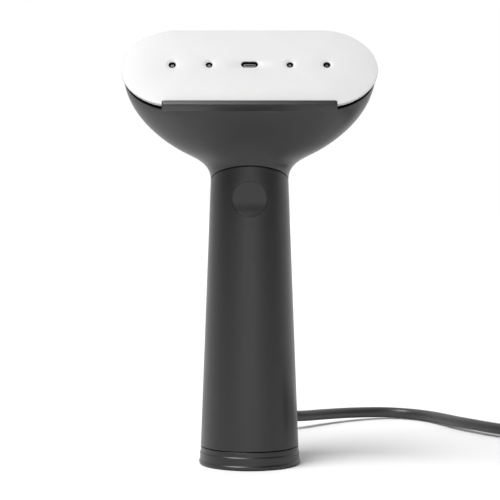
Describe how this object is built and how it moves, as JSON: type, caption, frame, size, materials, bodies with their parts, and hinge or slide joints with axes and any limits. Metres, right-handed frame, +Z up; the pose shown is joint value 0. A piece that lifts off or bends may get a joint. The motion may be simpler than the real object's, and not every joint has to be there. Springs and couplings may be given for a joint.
{
  "type": "garment steamer",
  "caption": "Handheld garment steamer: a tapering round grip, a wide bowl-shaped head with a flat steam plate leaning back, and a mains cord.",
  "frame": {"origin": "on the floor, at the centre of the rubber foot, on the axis of the grip", "axes": "+Z up along the grip, -Y out of the steam plate's side, X along the plate's long side"},
  "size_m": [0.2925, 0.2014, 0.2108],
  "materials": {
    "shell": "fine matt charcoal moulded plastic",
    "plate": "white ceramic-coated plate, satin",
    "soft_black": "black rubber",
    "boiler": "die-cast aluminium",
    "steel": "plain steel",
    "nickel": "nickel-plated brass",
    "brass": "turned brass",
    "frame": "natural nylon, matt",
    "mica": "pressed mica sheet",
    "hose": "translucent silicone",
    "pump": "black glass-filled plastic",
    "switch": "black plastic",
    "board": "green circuit board",
    "light": "frosted clear plastic",
    "tank": "smoke-tinted clear plastic",
    "live": "brown wire insulation",
    "neutral": "blue wire insulation",
    "earth": "green wire insulation",
    "lead_red": "red heat-resistant wire insulation",
    "cord": "dark grey flexible cord sheath, satin"
  },
  "bodies": {
    "handle": {"head_housing": "shell", "handle_shell": "shell", "inner_frame": "frame", "frame_screws": "steel", "steam_plate": "plate", "plate_seal": "soft_black", "front_lip": "shell", "steam_chamber": "boiler", "boiler_bracket": "frame", "chamber_cover": "boiler", "heating_element": "steel", "thermostat": "brass", "thermal_fuse": "steel", "inlet_nozzle": "brass", "heat_shield": "mica", "plate_screws": "steel", "cover_screws": "steel", "pump_body": "pump", "pump_mount": "soft_black", "inlet_hose": "hose", "outlet_hose": "hose", "heater_leads": "lead_red", "trigger_spring": "steel", "trigger_switch": "switch", "light_ring": "light", "power_switch": "switch", "control_board": "board", "board_components": "switch", "live_wire": "live", "neutral_wire": "neutral", "earth_wire": "earth", "cord_clamp": "frame", "strain_relief": "soft_black", "cord_lead": "cord", "cord_coil": "cord", "cord_tail": "cord", "cord_ties": "soft_black", "plug_body": "cord", "plug_pins": "nickel", "earth_clips": "nickel"},
    "tank": {"base_cap": "shell", "foot_pad": "soft_black", "cap_screws": "steel", "tank_body": "tank", "tank_top": "tank", "tank_seal": "soft_black", "dip_tube": "hose", "tank_filter": "steel"},
    "filler_plug": {"filler_plug": "soft_black"},
    "trigger": {"trigger_button": "shell", "switch_plunger": "steel"},
    "power_button": {"power_button": "shell"}
  },
  "joints": [
    {"name": "trigger_press", "type": "slide", "parent": "handle", "child": "trigger", "axis": [0, 1, 0], "range_m": [0, 0.002], "stiffness_N_per_m": 900, "springref_m": -0.002, "deforming": ["trigger_spring"]},
    {"name": "power_press", "type": "slide", "parent": "handle", "child": "power_button", "axis": [0, -1, 0], "range_m": [0, 0.0006], "stiffness_N_per_m": 1500, "springref_m": -0.0005},
    {"name": "tank_slide", "type": "slide", "parent": "handle", "child": "tank", "axis": [0, 0, -1], "range_m": [0, 0.1]},
    {"name": "filler_plug_pull", "type": "slide", "parent": "tank", "child": "filler_plug", "axis": [0, 0, 1], "range_m": [0, 0.0032]}
  ]
}
